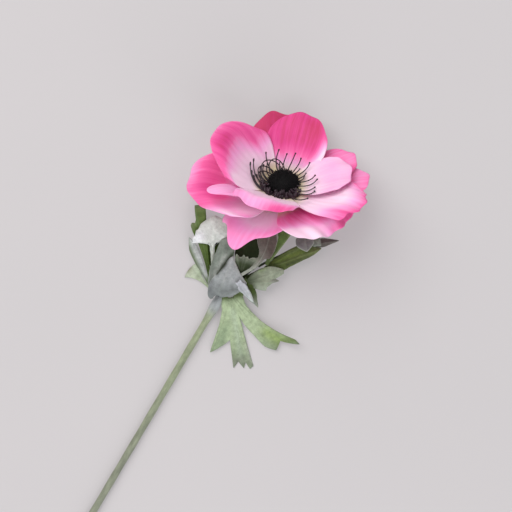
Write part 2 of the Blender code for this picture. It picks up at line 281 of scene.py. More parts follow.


# %% [markdown]
# ## Petal cloth
# The cloth is printed: cream at the claw, then a pale lavender pink, and a deep magenta that comes in
# fine rays towards the rim. Rays must follow each petal, so the pattern uses the UV map, stretched so
# that it varies quickly across the petal and slowly along it. How much of each colour a point has is
# painted on the mesh: red for the magenta, green for the cream, and blue for a number of the petal's
# own, which moves its rays. The red also carries painted light: painted highlights on some rims and
# a curled edge, and painted shade on the back outer petal and under the inner front petals.

# %% Petal finish
petal_cloth = Finish("petal_cloth", 0.62)
blush_and_painted_light, cream, own = petal_cloth.parts(petal_cloth.painted())
uv = petal_cloth.node("ShaderNodeTexCoord", {}, {}, 2)
shift = petal_cloth.node("ShaderNodeCombineXYZ", {}, {0: own * 7.0, 1: own * 3.0})
place = petal_cloth.node("ShaderNodeVectorMath", {"operation": "ADD"}, {0: uv, 1: shift})
rays = petal_cloth.noise(petal_cloth.stretched(place, (16.0, 1.1, 1.0)), 1.0, 3.0, 0.6)
threads = petal_cloth.noise(petal_cloth.stretched(place, (90.0, 4.0, 1.0)), 1.0, 2.0)
clouds = petal_cloth.noise(petal_cloth.stretched(place, (3.0, 2.5, 1.0)), 1.0, 2.0)
dye_and_painted_light = (blush_and_painted_light + (rays - 0.5) * 0.75 * (blush_and_painted_light + 0.10) + (threads - 0.5) * 0.20 * (blush_and_painted_light + 0.1)
       + (clouds - 0.5) * 0.12).held()
colour = petal_cloth.blend((dye_and_painted_light * 4.0).held(), (0.97, 0.71, 0.88, 1.0), (0.96, 0.40, 0.73, 1.0))
colour = petal_cloth.blend(((dye_and_painted_light - 0.25) * 3.6).held(), colour, (0.90, 0.13, 0.40, 1.0))
colour = petal_cloth.blend(((dye_and_painted_light - 0.50) * 4.0).held(), colour, (0.74, 0.050, 0.27, 1.0))
# the crimson end is print, and on the back outer petal it also stands for painted shade
colour = petal_cloth.blend(((dye_and_painted_light - 0.75) * 4.0).held(), colour, (0.56, 0.025, 0.13, 1.0))
colour = petal_cloth.blend((cream + (rays - 0.5) * 0.5 * cream).held(), colour, (0.80, 0.72, 0.42, 1.0))
petal_cloth.feed(petal_cloth.shader.inputs["Base Color"], colour)
petal_cloth.feed(petal_cloth.shader.inputs["Roughness"], 0.55 + threads * 0.2)
petal_cloth.relief(rays * 0.6 + threads * 0.4, 0.35, 0.35)
petal_cloth.shader.inputs["Sheen Weight"].default_value = 0.06
petal_cloth.glow(0.14, (0.92, 0.30, 0.55, 1.0))
print("petal cloth:", len(petal_cloth.tree.nodes), "nodes")

# %% [markdown]
# ## The twelve petals
# A petal is a flat outline bent to shape. Across, u runs from -1 to 1, and along, v runs from 0 at the
# claw to 1 at the rim. The half width grows as a sine of v, and the rim falls away towards its
# shoulders as a power of u. The cloth then follows a centre line whose slope changes from claw to
# rim, is cupped across, rolls at its edges, and ruffles a little more towards the rim.
# Each petal has its own numbers, because a formed fabric petal never matches its neighbour.

# %% Petal measures
# azimuth, length, width, slopes, claw height, cup, how far out it is widest, roundness, skew
PETALS = {
    "petal_inner_back": (75, 35.5, 29, (10, 38, 40, 20), 0.7, 0.025, 1.0, 0.30, 0.0),
    "petal_inner_left": (158.5, 37.6, 36.3, (10, 40, 50, 20), 3.4, 0.022, 0.90, 0.42, -0.05),
    "petal_inner_right": (4, 28, 24, (5, 22, 25, 10), 3.6, 0.030, 0.75, 0.22, 0.0),
    "petal_inner_front_right": (-26, 37.5, 27, (5, 18, 22, 5), 1.8, 0.020, 0.85, 0.27, -0.25),
    "petal_inner_front": (-111, 31.5, 29.5, (8, 38, 42, 0), 2.75, 0.010, 0.85, 0.25, 0.0),
    "petal_inner_front_left": (211.5, 39, 13.5, (5, 32, 34, 5), 0.9, 0.030, 0.85, 0.70, 0.0),
    "petal_outer_back": (95, 39.5, 36, (5, 25, 30, 15), -1.9, 0.020, 0.85, 0.46, 0.0),
    "petal_outer_left": (188, 40.3, 55, (0, 15, 20, 0), -0.9, 0.020, 1.15, 0.46, 0.22),
    "petal_outer_front_left": (240.5, 31, 29.5, (0, 0, 0, -25), -3.4, 0.010, 1.25, 0.48, -0.8),
    "petal_outer_front_right": (-41, 31, 43, (0, 18, 5, -35), -2.4, 0.010, 0.85, 0.25, 0.0),
    "petal_outer_right": (5.5, 36.2, 27, (3, 18, 19, 12), -1.4, 0.020, 0.85, 0.46, 0.0),
    "petal_outer_back_right": (27, 33.5, 24, (5, 19, 22, 14), -0.1, 0.020, 0.85, 0.34, 0.0),
}
# left roll, right roll, rim roll in mm; ruffles as (height, waves across, phase); scallops of the rim,
# as (share of the length, waves across, phase)
FORMS = {
    "petal_inner_back": (0.5, 0.5, 0.6, ((0.5, 2.3, 0.4),), ((0.006, 3.0, 0.5),)),
    "petal_inner_left": (0.0, 2.0, 2.5, ((0.6, 2.0, 1.0),), ((0.012, 2.0, -1.57),)),
    "petal_inner_right": (0.5, 1.5, 0.8, ((0.4, 2.0, 0.5),), ((0.015, 2.5, 0.0),)),
    "petal_inner_front_right": (2.0, 1.0, 1.2, ((0.8, 2.4, 0.3), (0.3, 5.0, 1.0)), ((0.02, 4.0, 0.5),)),
    "petal_inner_front": (1.0, 1.0, 2.0, ((0.7, 2.6, 0.2),), ((0.02, 3.0, 0.0),)),
    "petal_inner_front_left": (0.8, -0.5, 0.6, ((0.5, 1.5, 2.0),), ()),
    "petal_outer_back": (1.0, 1.0, 0.5, ((0.8, 2.0, 0.0),), ((0.015, 3.0, 0.0),)),
    "petal_outer_left": (1.5, 0.5, 1.5, ((0.8, 2.2, 1.2),), ((0.02, 3.0, 0.5),)),
    "petal_outer_front_left": (0.5, 0.5, 0.5, ((0.5, 2.5, 0.0),), ((0.13, 1.54, 2.80), (0.01, 4.0, 2.0))),
    "petal_outer_front_right": (0.0, 1.5, 0.0, ((0.9, 3.2, 0.8), (0.4, 6.5, 0.0)), ((0.01, 5.0, 0.0),)),
    "petal_outer_right": (0.8, 0.5, 1.0, ((0.5, 2.0, 2.0),), ((0.01, 3.0, 0.0),)),
    "petal_outer_back_right": (0.5, 1.0, 0.8, ((0.6, 2.5, 1.5),), ((0.01, 3.0, 1.0),)),
}
# where the dye starts, how deep it gets at the rim, and the clouds, each (across, along, half width,
# half length, amount); the clouds and depths are print except where a note below says painted light or shade
DYES_AND_PAINTED_LIGHT = {
    # inner back petal: its first cloud, at u = -1, takes the dye out of the curled edge, a painted highlight
    "petal_inner_back": (0.2, 0.86, ((-1.0, 0.62, 0.22, 0.34, -1.0), (-0.55, 0.86, 0.3, 0.14, 0.12),
        (0.3, 1.03, 1.5, 0.05, -0.14), (0.0, 0.36, 0.8, 0.1, 0.1), (0.8, 0.72, 0.25, 0.3, -0.1))),
    # inner left petal: the cloud at along 1.03 lightens the rolled rim, a painted highlight
    "petal_inner_left": (0.44, 0.56, ((0.15, 0.83, 0.45, 0.09, 0.3), (-0.62, 0.58, 0.3, 0.2, 0.36),
        (0.0, 1.03, 1.6, 0.06, -0.18), (0.95, 0.66, 0.22, 0.22, -0.4), (0.5, 0.92, 0.3, 0.1, 0.12),
        (0.0, 0.55, 0.6, 0.15, 0.06))),
    "petal_inner_right": (0.3, 0.16, ((0.3, 0.5, 0.5, 0.3, 0.06), (0.0, 1.02, 1.5, 0.06, 0.08))),
    "petal_inner_front_right": (0.5, 0.28, ((-0.8, 0.85, 0.3, 0.28, 0.22), (0.9, 0.75, 0.2, 0.3, 0.12),
        (0.0, 1.03, 1.5, 0.1, 0.28), (0.1, 0.72, 0.5, 0.14, -0.16))),
    "petal_inner_front": (0.55, 0.28, ((0.6, 0.95, 0.45, 0.14, 0.34), (-0.8, 0.8, 0.2, 0.2, 0.12))),
    "petal_inner_front_left": (0.2, 0.26, ((0.4, 0.45, 0.5, 0.14, 0.28),)),
    # outer back petal: a depth of 1.1 takes it into crimson, partly print and partly painted shade
    "petal_outer_back": (0.05, 1.1, ((-0.3, 0.95, 0.5, 0.1, 0.06),)),
    # outer left petal: its first cloud lightens the rim, a painted highlight
    "petal_outer_left": (0.26, 0.62, ((-0.35, 1.02, 0.6, 0.13, -0.32), (0.88, 0.88, 0.22, 0.22, -0.5),
        (0.15, 0.76, 0.2, 0.14, 0.16), (0.6, 0.62, 0.25, 0.2, -0.2), (0.9, 0.5, 0.4, 0.3, -0.25))),
    "petal_outer_front_left": (0.45, 0.34, ((-1.0, 0.85, 0.18, 0.3, -0.2), (0.5, 0.45, 0.4, 0.2, 0.05),
        (-0.1, 0.55, 0.4, 0.12, -0.12))),
    # outer front right petal: dyed from the claw, so its upper part is deep pink, partly print and partly
    # painted shade under the inner front petals; its first cloud pales the outer part at u = -0.9, partly
    # painted highlight
    "petal_outer_front_right": (-0.6, 0.5, ((-0.9, 0.86, 0.5, 0.24, -0.75), (-0.4, 1.0, 0.3, 0.1, -0.2),
        (0.1, 0.62, 0.5, 0.12, 0.06), (0.3, 0.97, 0.7, 0.05, 0.06), (-0.1, 0.83, 0.3, 0.08, -0.22))),
    "petal_outer_right": (0.25, 0.34, ((-0.5, 0.65, 0.5, 0.2, 0.26), (-0.3, 1.0, 0.5, 0.08, 0.12))),
    "petal_outer_back_right": (0.25, 0.46, ((-0.7, 0.88, 0.22, 0.15, 0.25),
        (0.0, 0.9, 0.5, 0.07, -0.08))),
}


# %% Petal surface
def petal(name, columns=65, rows=49):
    """Points and paint of one petal.
    half width = width/2 (0.22 + 0.78 sin(0.62 pi v^low)); the length falls by roundness |u|^2.4, less on
    the right and more on the left by the share skew."""
    azimuth, length, width, slopes, height, cup, low, roundness, skew = PETALS[name]
    roll_left, roll_right, roll_rim, ruffles, scallops = FORMS[name]
    start, depth, clouds = DYES_AND_PAINTED_LIGHT[name]
    u, v = np.meshgrid(np.linspace(-1, 1, columns), np.linspace(0, 1, rows))
    x = u * width / 2.0 * (0.22 + 0.78 * np.sin(0.62 * np.pi * v ** low))
    y = length * v * (1.0 - roundness * (1.0 - skew * np.sign(u)) * np.abs(u) ** 2.4)
    for share, waves, phase in scallops:
        y = y * (1.0 + share * v ** 4 * np.sin(np.pi * waves * u + phase))
    ahead, side, rise, slope = bend(x, y, slopes, length, cup)
    outer = smooth(1.4 * v - 0.3)
    push = -roll_left * smooth((-u - 0.35) / 0.65) * outer - roll_right * smooth((u - 0.35) / 0.65) * outer
    push = push - roll_rim * smooth((v - 0.72) / 0.28) ** 2
    for tall, waves, phase in ruffles:
        push = push + tall * v ** 3 * np.sin(np.pi * waves * u + phase)
    push = push + 0.25 * v * (1 - v) * np.sin(9 * u * np.pi)
    turn = np.radians(azimuth)
    out = np.array([np.cos(turn), np.sin(turn), 0.0])
    across = np.array([-np.sin(turn), np.cos(turn), 0.0])
    local = (ahead - np.sin(slope) * push + CLAW_RADIUS)[..., None] * out + side[..., None] * across
    local[..., 2] += rise + np.cos(slope) * push + height
    blush_and_painted_light = depth * smooth((v - start) / 0.45)
    for across_at, along_at, wide, long, amount in clouds:
        blush_and_painted_light = blush_and_painted_light + amount * hump(u - across_at, wide) * hump(v - along_at, long)
    cream = smooth((0.34 - v) / 0.26)
    own = np.full_like(v, list(PETALS).index(name) / len(PETALS))
    placed = in_bloom(local)
    placed[..., 2] = np.maximum(placed[..., 2], PETAL_CLEARANCE)
    return placed, np.stack([blush_and_painted_light, cream, own, np.ones_like(v)], axis=-1)


for name in PETALS:
    points, dyes = petal(name)
    piece = skin(name + "_cloth", points[None], paint=dyes)
    settle(thicken(piece), petal_cloth.material, [name])
print(len(PETALS), "petals")

# %% [markdown]
# ## Flocked leaves
# The leaves are moulded cloth covered in short velvet fibre: grey green, paler along their cut edges,
# darker where they turn away. Flock has no shine of its own but a soft bright edge, which is what sheen
# does. Each leaf's own greens are painted on its mesh, and alpha marks its edge and veins. Part of the
# greens is painted shade, where leaves lie in the shadow of others, and painted light on a lit tip.

# %% Leaf finish
leaf_flock = Finish("leaf_flock", 0.9)
paint = leaf_flock.painted()
edge = Value(leaf_flock, paint.socket.node.outputs["Alpha"])
where = leaf_flock.in_space()
blotches = leaf_flock.noise(where, 420.0, 4.0, 0.65)
fibre = leaf_flock.noise(where, 2600.0, 2.0, 0.7)
shade = leaf_flock.scaled(paint, 0.20 + blotches * 1.15 + fibre * 0.45)
colour = leaf_flock.blend((edge * (0.55 + blotches * 0.6)).held(), shade, (0.40, 0.43, 0.36, 1.0))
leaf_flock.feed(leaf_flock.shader.inputs["Base Color"], colour)
leaf_flock.relief(blotches * 0.7 + fibre * 0.3, 0.6, 0.5)
leaf_flock.shader.inputs["Sheen Weight"].default_value = 0.08
leaf_flock.shader.inputs["Specular IOR Level"].default_value = 0.15
leaf_flock.shader.inputs["Sheen Roughness"].default_value = 0.6
leaf_flock.shader.inputs["Sheen Tint"].default_value = (0.85, 0.92, 0.80, 1.0)

# %% [markdown]
# ## The whorl of leaves
# A cut leaf is a fan of spokes from a narrow base out to a rim that dips into notches and rises to
# teeth. The rim is a short list of (angle, reach), and columns are spread evenly along its own length
# so that a steep notch gets as many as a tooth. Spokes may splay as they go out, which narrows the
# base, and the whole blade is bent along and cupped across like a petal. Veins are low ridges along
# the spokes that end in teeth.

# %% Leaf measures
# base, bearing, slopes, cup, stalk, lean, splay, rim
LEAVES = {
    "leaf_lower": ((3.6, -53.3, 3.7), 140, (0, -8, -8, 0), 0.010, 0, 0.0, 0.25,
        ((-165, 6.0), (-125, 6.0), (-92.5, 6), (-69.5, 7.5), (-59, 9.5), (-53, 13.5), (-49.5, 19.5),
         (-49, 26.5), (-48.5, 36.5), (-46, 39.5), (-42, 31.5), (-32.5, 33.5), (-27.5, 29), (-25.5, 22),
         (-16.5, 10.5), (-11.5, 20), (-9.5, 29), (-9, 35), (-5.5, 36), (-3.5, 32.5), (-1, 35), (3, 31.5),
         (7.5, 34.5), (9.5, 27), (12, 21), (24.5, 25), (33, 28.5), (35, 23), (37.5, 15), (43, 10.5),
         (50, 8), (68, 6), (93, 4.5), (125, 4.5), (160, 4.5))),
    "leaf_front": ((-1, -57.5, 7.6), -31, (18, 8, 0, 0), -0.008, 0, 0.0, 0.0,
        ((-100, 3), (-48, 5.5), (-24, 8), (-5, 10.6), (4, 12.4), (14, 16.6), (19, 20), (22, 20.9),
         (24, 19.6), (30, 18), (38, 16.4), (45, 15.6), (55, 15.2), (64, 15.4), (70, 14.0), (76, 10.5),
         (84, 6.5))),
    "leaf_left_middle": ((-2.5, -57.5, 4.7), -21, (8, 10, 10, 0), 0.010, 0, 0.0, 0.0,
        ((-38, 6), (-24, 10), (-14, 15.5), (-7, 21), (-2, 27), (2, 28), (10, 26), (15, 22.5),
         (18, 18), (24, 10))),
    "leaf_left_pale": ((-3.5, -57, 3.3), -31, (4, 10, 15, 5), 0.010, 0, 0.0, 0.0,
        ((-24, 24.0), (-22.5, 26.2), (-20.5, 26.2), (-18.5, 28.6), (-16.5, 28.6), (-14, 31.0),
         (-12, 31.2), (-9, 33.5), (2, 37), (10, 35), (18, 25))),
    "leaf_left_dark": ((-4.5, -56, 2.3), -40, (5, 12, 12, 5), 0.020, 0, 0.0, 0.7,
        ((-13, 29.5), (-11.5, 32.5), (-9, 33.5), (-6, 33.0), (-4, 34.5), (-2, 41), (5, 40.5), (6, 33))),
    "leaf_left_thin": ((-4.5, -56, 1.4), -54, (3, 8, 8, 0), 0.020, 0, 0.0, 0.0,
        ((-8, 15), (-6, 22), (0, 27.5), (5, 22))),
    "leaf_left_low": ((-4.5, -56, 0.45), -76, (5, 3, 0, -3), 0.010, 0, 0.0, 0.85,
        ((-20, 14.5), (0, 15), (11, 15), (21, 14.5), (24, 10))),
    "leaf_middle_toothed": ((3, -43, 7.1), -11, (18, 15, 10, 0), 0.010, 2, 0.0, 0.0,
        ((-45, 4), (-34, 9), (-29, 10.4), (-22, 8.6), (-14, 8.8), (-9, 9.9), (-4, 8.8), (2, 9.6), (8, 8.6),
         (15, 10.2), (23, 11.2), (30, 12.9), (38, 12.2), (46, 6))),
    "leaf_middle_strap": ((5.2, -39.4, 9.2), 30, (12, 12, 12, 5), 0.010, 6, -0.80, 0.3,
        ((-40, 12), (-33, 15), (-27, 17.5), (-22, 20.5), (-11, 22), (0, 23.5), (9, 22.5), (20, 21),
         (24, 17), (26, 13))),
    "leaf_middle_tall": ((11, -34, 7.8), -1, (14, 20, 15, 5), 0.020, 0, 0.0, 0.0,
        ((-16, 12), (-14.5, 19), (-12, 23), (-4, 22), (4, 21), (8, 19.5), (8, 11))),
    "leaf_right": ((10.5, -36, 4.6), 35, (8, 10, 8, 0), 0.020, 10, 0.0, 0.0,
        ((-20, 5), (-16, 11), (-11, 19), (-9, 24.5), (-7, 26.5), (-3, 25.5), (0, 27), (4, 29.5), (7, 26),
         (7.6, 25.2), (8.2, 23.8), (8.8, 23.2), (10, 20), (10.8, 19.2), (13, 16.5), (17, 13), (24, 10))),
    "leaf_right_low": ((6.5, -45.5, 5.9), 44, (6, 8, 5, 0), 0.020, 3, 0.0, 0.0,
        ((-36, 5), (-32, 8), (-17, 15), (-4, 19.5), (1, 19), (4, 16.5), (6.5, 14.6), (9, 15.6), (11, 16.4),
         (14, 13), (24, 10.8), (33, 10.6), (40, 5))),
    "leaf_right_back": ((9.5, -33, 2.4), 30, (2, 8, 8, 0), 0.010, 4, 0.22, 0.0,
        ((-10, 17.5), (-8, 24), (-4, 30.5), (0, 36), (3, 30.5), (7, 26), (10, 17.5))),
}
# the parts of four leaves that fold back or hang behind, made the same way and named for their leaf
FOLDS = {
    "leaf_front_fold": ((4.3, -46.4, 10.2), 113, (0, -5, -5, 0), 0.040, 2, 0.0, 0.0,
        ((-50, 2.2), (-20, 5.0), (-8, 8.5), (0, 11.2), (7, 8.0), (16, 5.0), (50, 2.2))),
    "leaf_front_under": ((6.6, -45.1, 6.5), 123, (0, -3, -3, 0), 0.020, 3, 0.0, 0.0,
        ((-52, 3.0), (-28, 6.0), (-10, 9.5), (-2, 13.0), (3, 10.5), (18, 7.0), (50, 3.0))),
    "leaf_middle_strap_behind": ((4.6, -43.0, 3.0), -22, (4, 6, 4, 0), 0.010, 2, 0.0, 0.0,
        ((-40, 5), (-28, 12), (-14, 17), (0, 18.5), (12, 18.5), (24, 17), (34, 12), (46, 6))),
    "leaf_left_dark_behind": ((-6.6, -50.5, 0.7), -33, (3, 5, 3, 0), 0.010, 3, 0.0, 0.3,
        ((-24, 9), (-17, 14), (-12, 18.5), (-5, 19.5), (6, 18.5), (15, 18.5), (22, 17.0), (27, 9))),
    "leaf_right_back_lobe": ((17.4, -10.9, 12.0), 142, (-5, -8, -5, 0), 0.020, 2, 0.0, 0.0,
        ((-48, 5), (-36, 7.4), (-16, 8.6), (-3, 9.8), (8, 8.8), (30, 7.6), (48, 5))),
    "leaf_right_back_tooth": ((22.2, -10.7, 9.0), 112, (0, -4, -4, 0), 0.020, 2, 0.0, 0.0,
        ((-50, 3), (-20, 4.6), (-5, 6.2), (6, 5.2), (28, 5.0), (50, 3.2))),
}
BLADES = {**LEAVES, **FOLDS}
BASE_REACH, COLUMN_GAP, FEWEST_COLUMNS = 1.2, 0.4, 24
# leaves with a narrow neck: how much narrower, and the shares of the reach where the neck ends and where
# the full width begins
NECKS = {"leaf_left_pale": (0.88, 0.62, 0.72), "leaf_right_back": (0.85, 0.60, 0.85),
         "leaf_middle_strap": (0.55, 0.34, 0.54)}
# the darkest green is painted shadow: the slit between the front leaf and the left middle leaf, and the part
# of the strap that lies behind
SHADOW_GREEN, WHITE = (0.014, 0.022, 0.007), (0.46, 0.48, 0.49)
# colour at the base, colour at the tips, the share of the reach where they meet, how pale the edge is,
# and brushed strokes (from across, along, to across, along in mm, width, colour, strength)
GREENS = {
    # lower leaf: the last stroke, dark green across its base, is partly its dark underside and partly painted
    # shadow under the front leaf
    "leaf_lower": ((0.31, 0.38, 0.24), (0.14, 0.175, 0.11), 0.70, 0.10,
        ((5, 15, 11, 26, 2.6, (0.19, 0.25, 0.155), 0.8), (-20, 26, -29, 24, 2.5, (0.13, 0.18, 0.06), 0.8),
         (-14, 20, -19, 24, 3.0, (0.22, 0.30, 0.09), 0.7), (-5.0, 25, -6.0, 32, 2.2, (0.34, 0.35, 0.31), 0.7),
         (-6.4, 35, -7.0, 38, 1.6, (0.14, 0.13, 0.13), 0.8), (0, 31, 4, 32, 3.0, (0.13, 0.13, 0.12), 0.5),
         (0, 8, 0, 28, 1.6, (0.30, 0.36, 0.27), 0.6), (5, 12, 13, 22, 1.5, (0.26, 0.33, 0.20), 0.5),
         (-6, 0.6, 6, 0.6, 1.5, (0.09, 0.13, 0.03), 0.85))),
    "leaf_front": ((0.15, 0.165, 0.165), (0.27, 0.29, 0.293), 0.35, 0.35,
        ((-3, 2, -3, 8, 1.5, (0.11, 0.12, 0.125), 0.6), (0.1, 11.6, 6.6, 18.8, 0.95, SHADOW_GREEN, 1.0),
         (6, 17, 7, 19, 1.2, WHITE, 0.6),
         (8, 8, 12, 11, 1.4, (0.34, 0.36, 0.37), 0.6), (3, 3, 9, 4, 1.2, (0.12, 0.13, 0.13), 0.7),
         (3, 7, 6, 14, 0.8, (0.31, 0.33, 0.33), 0.5), (10, 4, 13, 6, 1.0, (0.15, 0.16, 0.17), 0.6))),
    "leaf_left_middle": ((0.20, 0.22, 0.20), (0.17, 0.20, 0.17), 0.50, 0.25,
        ((-0.4, 11.2, 4.9, 19.6, 1.0, SHADOW_GREEN, 0.97), (4.5, 20, 6.5, 23, 0.9, (0.05, 0.07, 0.04), 0.8),
         (-1.5, 10, 2.2, 21, 1.0, (0.32, 0.35, 0.32), 0.8),
         (-3.5, 12, -2.5, 22, 0.9, (0.10, 0.12, 0.10), 0.6),
         (2, 21, 3, 27, 1.6, (0.09, 0.11, 0.09), 0.6))),
    # left pale leaf: its pale far colour and bright stroke are partly grey flock and partly painted light on
    # the part that curves up
    "leaf_left_pale": ((0.30, 0.34, 0.26), (0.50, 0.53, 0.50), 0.45, 0.35,
        ((-10, 24, -6, 27, 2.6, (0.66, 0.67, 0.70), 0.9), (4, 32, 8, 30, 2.0, (0.33, 0.35, 0.30), 0.5))),
    "leaf_left_dark": ((0.045, 0.075, 0.012), (0.085, 0.13, 0.035), 0.50, 0.10,
        ((-6, 31, -5, 34, 1.6, (0.16, 0.18, 0.11), 0.8),)),
    "leaf_left_thin": ((0.10, 0.14, 0.07), (0.20, 0.23, 0.19), 0.50, 0.30,
        ((0.4, 8, 0.8, 26, 1.3, (0.40, 0.42, 0.42), 0.95),
         (-2.2, 12, -1.8, 24, 0.6, (0.08, 0.11, 0.05), 0.8))),
    "leaf_left_low": ((0.30, 0.35, 0.24), (0.37, 0.42, 0.32), 0.50, 0.15,
        ((-1, 15, 0, 15.5, 1.6, (0.14, 0.13, 0.08), 0.8), (-4, 9, 4, 10, 1.2, (0.24, 0.29, 0.19), 0.5))),
    # middle toothed leaf: its near colour and its stroke are nearly black, painted shade below the toothed
    # edge
    "leaf_middle_toothed": ((0.020, 0.030, 0.010), (0.26, 0.30, 0.23), 0.66, 0.35,
        ((-2, 5, 6, 6, 1.0, (0.035, 0.05, 0.02), 0.6),)),
    "leaf_middle_strap": ((0.27, 0.29, 0.25), (0.105, 0.082, 0.072), 0.32, 0.60,
        ((-1, 3, -1, 8, 0.7, (0.13, 0.15, 0.10), 0.5), (2, 14, 2, 20, 1.5, (0.075, 0.06, 0.05), 0.5))),
    "leaf_middle_tall": ((0.055, 0.080, 0.022), (0.085, 0.130, 0.035), 0.45, 0.30,
        ((0.5, 4, 3.0, 20, 0.5, (0.17, 0.22, 0.10), 0.8),
         (-1.5, 6, -2.5, 20, 0.8, (0.035, 0.055, 0.012), 0.7),
         (-4.6, 16, -4.6, 22, 0.6, (0.28, 0.29, 0.20), 0.8))),
    "leaf_right": ((0.060, 0.085, 0.022), (0.110, 0.135, 0.045), 0.50, 0.12,
        ((-3.5, 4, -6.0, 21, 0.5, (0.19, 0.23, 0.12), 0.8), (-1.5, 6, 0, 24, 1.0, (0.11, 0.15, 0.03), 0.6),
         (2.6, 12, 3.2, 24, 0.7, (0.05, 0.065, 0.03), 0.6))),
    # right low leaf: its near colour is almost black, painted shade where its base lies under other leaves
    "leaf_right_low": ((0.030, 0.045, 0.018), (0.25, 0.285, 0.21), 0.32, 0.15,
        ((-4, 9, -6, 14, 1.2, (0.22, 0.29, 0.13), 0.6), (4, 6, 6, 10, 2.0, (0.32, 0.36, 0.30), 0.5),
         (2.5, 13, 3.0, 16, 1.0, (0.17, 0.17, 0.16), 0.7))),
    "leaf_right_back": ((0.06, 0.07, 0.045), (0.115, 0.100, 0.092), 0.60, 0.10, ()),
    "leaf_front_fold": ((0.36, 0.38, 0.41), (0.42, 0.45, 0.45), 0.50, 0.20,
        ((0.9, 1, 0.5, 8, 0.5, (0.20, 0.22, 0.23), 0.5),)),
    "leaf_front_under": ((0.045, 0.070, 0.015), (0.20, 0.23, 0.18), 0.70, 0.40,
        ((2.2, 3, 0.6, 11, 0.8, (0.30, 0.32, 0.31), 0.8),)),
    # the strap's hidden part is painted near black, painted shade under the strap and the petals
    "leaf_middle_strap_behind": (SHADOW_GREEN, (0.020, 0.030, 0.010), 0.50, 0.0, ()),
    "leaf_left_dark_behind": ((0.040, 0.065, 0.012), (0.070, 0.115, 0.022), 0.50, 0.05, ()),
    "leaf_right_back_lobe": ((0.10, 0.09, 0.085), (0.145, 0.135, 0.135), 0.50, 0.60, ()),
    "leaf_right_back_tooth": ((0.12, 0.13, 0.10), (0.17, 0.185, 0.16), 0.50, 0.30, ()),
}


# %% Leaf surface
def leaf(name, rows=22):
    """Points and paint of one leaf. A point is rho along its spoke: rho goes from BASE_REACH to the rim's
    reach as v goes from 0 to 1, and the spoke's angle is scaled by 1 + splay ((rho/R)^2 - 1).
    A stroke's strength at a point is exp(-(distance to the stroke / its width)^2)."""
    base, bearing, slopes, cup, stalk, lean, splay, outline = BLADES[name]
    angle, reach = np.radians([a for a, r in outline]), np.array([r for a, r in outline], float)
    gaps = np.hypot(np.diff(reach * np.sin(angle)), np.diff(reach * np.cos(angle)))
    run = np.concatenate([[0.0], np.cumsum(gaps)])
    columns = max(int(run[-1] / COLUMN_GAP), FEWEST_COLUMNS)
    along = np.concatenate([np.linspace(-1, 0, 5)[:-1] if stalk else [], np.linspace(0, 1, rows)])
    u, v = np.meshgrid(np.linspace(-1, 1, columns), along)
    at = (u + 1.0) / 2.0 * run[-1]
    spoke, rim = np.interp(at, run, angle), np.interp(at, run, reach)
    inner = np.clip(v, 0.0, 1.0)
    longest = reach.max()
    rho = BASE_REACH + (rim - BASE_REACH) * inner
    narrow, ends, opens = NECKS.get(name, (0.0, 0.0, 1.0))
    neck = 1.0 - narrow * (1.0 - smooth((rho / longest - ends) / (opens - ends)))
    spread = spoke * neck * (1.0 + splay * ((rho / longest) ** 2 - 1.0))
    x = rho * np.sin(spread) + 0.5 * u * (1.0 - inner) ** 2
    y = rho * np.cos(spread) + stalk * np.clip(v, -1.0, 0.0)
    ahead, side, rise = bend(x, y, slopes, longest, cup)[:3]
    side = side + lean * np.clip(y / longest, 0.0, 1.0) ** 2 * longest
    peaks = np.nonzero((reach[1:-1] > reach[:-2]) & (reach[1:-1] > reach[2:]))[0] + 1
    vein = np.zeros_like(x)
    for peak in peaks:
        vein = np.maximum(vein, hump(rho * (spoke - angle[peak]), 0.45) * smooth(rho / 6.0))
    ripple = 0.35 * np.sin(0.55 * x + base[0]) * np.sin(0.4 * y + base[1]) * smooth(rho / 8.0)
    rise = rise + 0.2 * vein + ripple - 0.5 * smooth((inner - 0.8) / 0.2)
    turn = np.radians(bearing)
    forward = np.array([np.sin(turn), np.cos(turn), 0.0])
    right = np.array([np.cos(turn), -np.sin(turn), 0.0])
    points = np.array(base, float) + ahead[..., None] * forward + side[..., None] * right
    points[..., 2] = np.maximum(points[..., 2] + rise, LEAF_CLEARANCE)
    near, far, where, pale, strokes = GREENS[name]
    mix = smooth((rho / longest - where) / 0.6 + 0.5)[..., None]
    tint = np.array(near) * (1 - mix) + np.array(far) * mix
    cover = np.zeros_like(x)
    for x0, y0, x1, y1, width, colour, strength in strokes:
        run_x, run_y = x1 - x0, y1 - y0
        share = np.clip(((x - x0) * run_x + (y - y0) * run_y) / (run_x ** 2 + run_y ** 2), 0, 1)
        away = np.hypot(x - x0 - share * run_x, y - y0 - share * run_y)
        weight = (strength * hump(away, width))[..., None]
        tint = tint * (1 - weight) + np.array(colour) * weight
        cover = np.maximum(cover, weight[..., 0])
    border = pale * np.maximum(smooth((inner - 0.90) / 0.09), smooth((np.abs(u) - 0.97) / 0.03))
    mark = np.maximum(border, 0.3 * pale * vein) * (1.0 - cover)
    return points, np.concatenate([tint, mark[..., None]], axis=-1)


for name in BLADES:
    points, greens = leaf(name)
    piece = skin(name + "_blade", points[None], paint=greens)
    settle(thicken(piece), leaf_flock.material, [name] if name in LEAVES else [])
print(len(LEAVES), "leaves,", len(FOLDS), "folds")


# %% [markdown]
# ## Tubes along a path
# The stem, the stamens and the boss's fibres are all round sections carried along a path. The section
# is set square to the path with two directions at right angles to it, and its radius may change on the
# way. Whole families of paths are carried at once, as one array.

